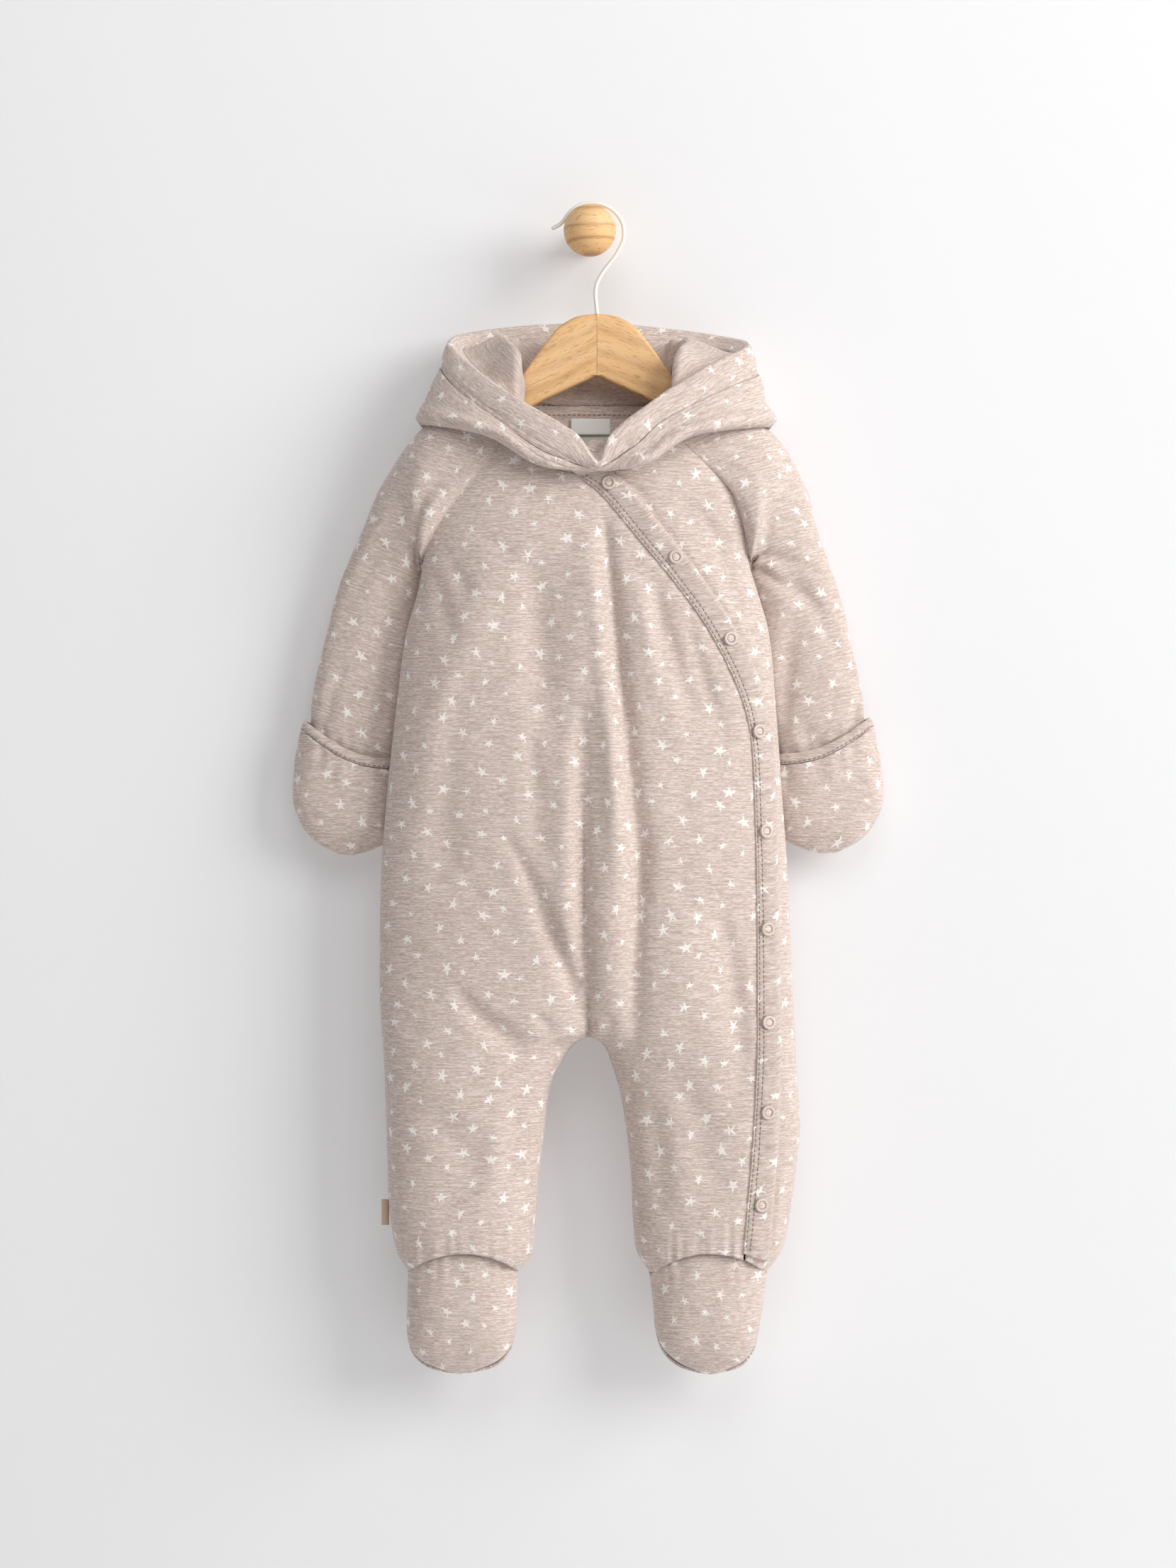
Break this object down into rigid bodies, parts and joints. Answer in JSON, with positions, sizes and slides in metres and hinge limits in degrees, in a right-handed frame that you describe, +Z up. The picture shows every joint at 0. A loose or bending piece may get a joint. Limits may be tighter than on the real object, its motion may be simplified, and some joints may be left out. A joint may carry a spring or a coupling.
{
  "type": "hooded pramsuit on a hanger and wall peg",
  "caption": "Hooded wrap-front baby pramsuit with mitts and feet, hanging open-necked on a child's wooden hanger whose wire hook rests over a ball peg on the wall.",
  "frame": {"origin": "centre of the wall peg's flat back face, which lies on the wall", "axes": "+Y into the wall, -Y the suit's front, +Z up, +X to the picture's right"},
  "size_m": [0.4011, 0.097, 0.7909],
  "materials": {
    "jersey": "light-padded heather jersey with a small star print",
    "hood_lining": "plain heather jersey",
    "back_lining": "plain cream jersey",
    "wood": "pale waxed wood",
    "wire": "off-white painted wire",
    "snap": "open-ring snap, tone on tone",
    "tab": "small folded tab, bare",
    "label": "blank woven label"
  },
  "bodies": {
    "root": {"front_main": "jersey", "front_side": "jersey", "placket_band": "jersey", "back": "jersey", "hood_band": "jersey", "hood_outer": "jersey", "hood_lining": "hood_lining", "neck_facing": "jersey", "back_lining": "back_lining", "neck_label": "label", "side_tab": "tab", "hanger_hook": "wire", "wall_peg": "wood", "sleeve_left": "jersey", "mitt_left": "jersey", "mitt_hem_left": "jersey", "foot_upper_left": "jersey", "foot_sole_left": "jersey", "hanger_left": "wood", "sleeve_right": "jersey", "mitt_right": "jersey", "mitt_hem_right": "jersey", "foot_upper_right": "jersey", "foot_sole_right": "jersey", "hanger_right": "wood", "snap_1": "snap", "snap_2": "snap", "snap_3": "snap", "snap_4": "snap", "snap_5": "snap", "snap_6": "snap", "snap_7": "snap", "snap_8": "snap", "snap_9": "snap"}
  },
  "joints": []
}
